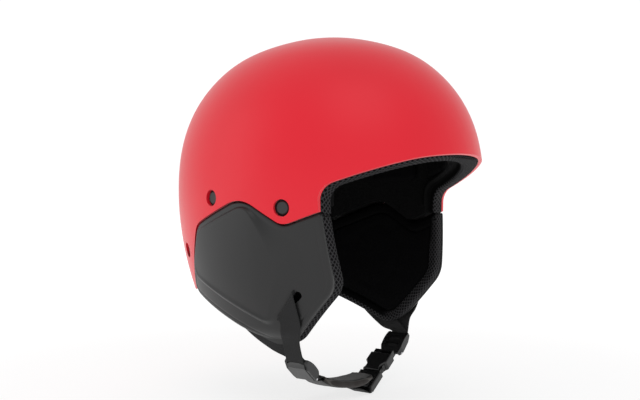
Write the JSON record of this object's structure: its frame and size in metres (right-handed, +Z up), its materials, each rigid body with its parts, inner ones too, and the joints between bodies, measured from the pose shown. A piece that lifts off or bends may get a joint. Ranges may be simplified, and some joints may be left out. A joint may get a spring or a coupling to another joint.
{
  "type": "ski helmet",
  "caption": "Full-dome ski helmet with hard shell, foam liner, soft ear pads, webbing straps, chin pad and side-release buckle.",
  "frame": {"origin": "centre of the dome at its widest level, where the middle of the wearer's head sits", "axes": "+Z up, -Y to the front of the helmet, -X to the wearer's right"},
  "size_m": [0.2262, 0.2842, 0.3018],
  "materials": {
    "shell_red": "satin",
    "hardware_black": "satin moulded",
    "anchor_grey": "fine matt",
    "nut_steel": "zinc plated",
    "foam_black": "moulded bead foam",
    "cover_charcoal": "smooth soft-touch cover",
    "mesh_black": "open knitted mesh",
    "fleece_black": "brushed fleece",
    "webbing_black": "woven webbing",
    "chin_pad_fabric": "soft brushed fabric",
    "pad_foam": "soft open foam"
  },
  "bodies": {
    "helmet": {"outer_shell": "shell_red", "anchor_screws": "anchor_grey", "anchor_nuts": "nut_steel", "eps_liner": "foam_black", "brow_edging": "mesh_black", "crown_pad": "fleece_black", "brow_pad": "fleece_black", "nape_pad": "fleece_black", "temple_pad_right": "fleece_black", "temple_pad_left": "fleece_black", "pad_dots": "hardware_black", "clip_base": "hardware_black", "clip_pin": "nut_steel", "ear_cover_right": "cover_charcoal", "ear_cover_left": "cover_charcoal", "ear_edging_right": "mesh_black", "ear_edging_left": "mesh_black", "ear_foam_right": "pad_foam", "ear_foam_left": "pad_foam", "ear_fleece_right": "fleece_black", "ear_fleece_left": "fleece_black", "ear_tongue_right": "hardware_black", "ear_tongue_left": "hardware_black", "strap_front_right": "webbing_black", "strap_front_left": "webbing_black", "strap_rear_right": "webbing_black", "strap_rear_left": "webbing_black", "divider_frame_right": "hardware_black", "divider_frame_left": "hardware_black", "divider_pins": "nut_steel", "buckle_socket": "hardware_black", "buckle_web": "webbing_black"},
    "chin_half": {"buckle_plug": "hardware_black", "chin_web": "webbing_black", "chin_web_tail": "webbing_black", "chin_pad": "chin_pad_fabric"},
    "latch_front": {"latch_arm_front": "hardware_black"},
    "latch_rear": {"latch_arm_rear": "hardware_black"},
    "lever_right": {"divider_lever_right": "hardware_black"},
    "lever_left": {"divider_lever_left": "hardware_black"},
    "goggle_clip": {"clip_arm": "hardware_black"}
  },
  "joints": [
    {"name": "buckle_release", "type": "slide", "parent": "helmet", "child": "chin_half", "axis": [-0.8462, 0, -0.5329], "range_m": [0, 0.026], "deforming": ["latch_arm_front", "latch_arm_rear", "chin_web"]},
    {"name": "latch_front_squeeze", "type": "hinge", "parent": "chin_half", "child": "latch_front", "pos_m": [0.03233, -0.0338, -0.16007], "axis": [-0.5329, 0, 0.8462], "range_deg": [0, 8], "stiffness_Nm_per_rad": 0.5},
    {"name": "latch_rear_squeeze", "type": "hinge", "parent": "chin_half", "child": "latch_rear", "pos_m": [0.03233, -0.0182, -0.16007], "axis": [0.5329, 0, -0.8462], "range_deg": [0, 8], "stiffness_Nm_per_rad": 0.5},
    {"name": "lever_right_open", "type": "hinge", "parent": "helmet", "child": "lever_right", "pos_m": [-0.06533, -0.026, -0.14862], "axis": [0, -1, 0], "range_deg": [0, 60]},
    {"name": "lever_left_open", "type": "hinge", "parent": "helmet", "child": "lever_left", "pos_m": [0.06533, -0.026, -0.14862], "axis": [0, 1, 0], "range_deg": [0, 60]},
    {"name": "goggle_clip_open", "type": "hinge", "parent": "helmet", "child": "goggle_clip", "pos_m": [0, 0.14651, -0.0195], "axis": [1, 0, 0], "range_deg": [0, 75]}
  ]
}
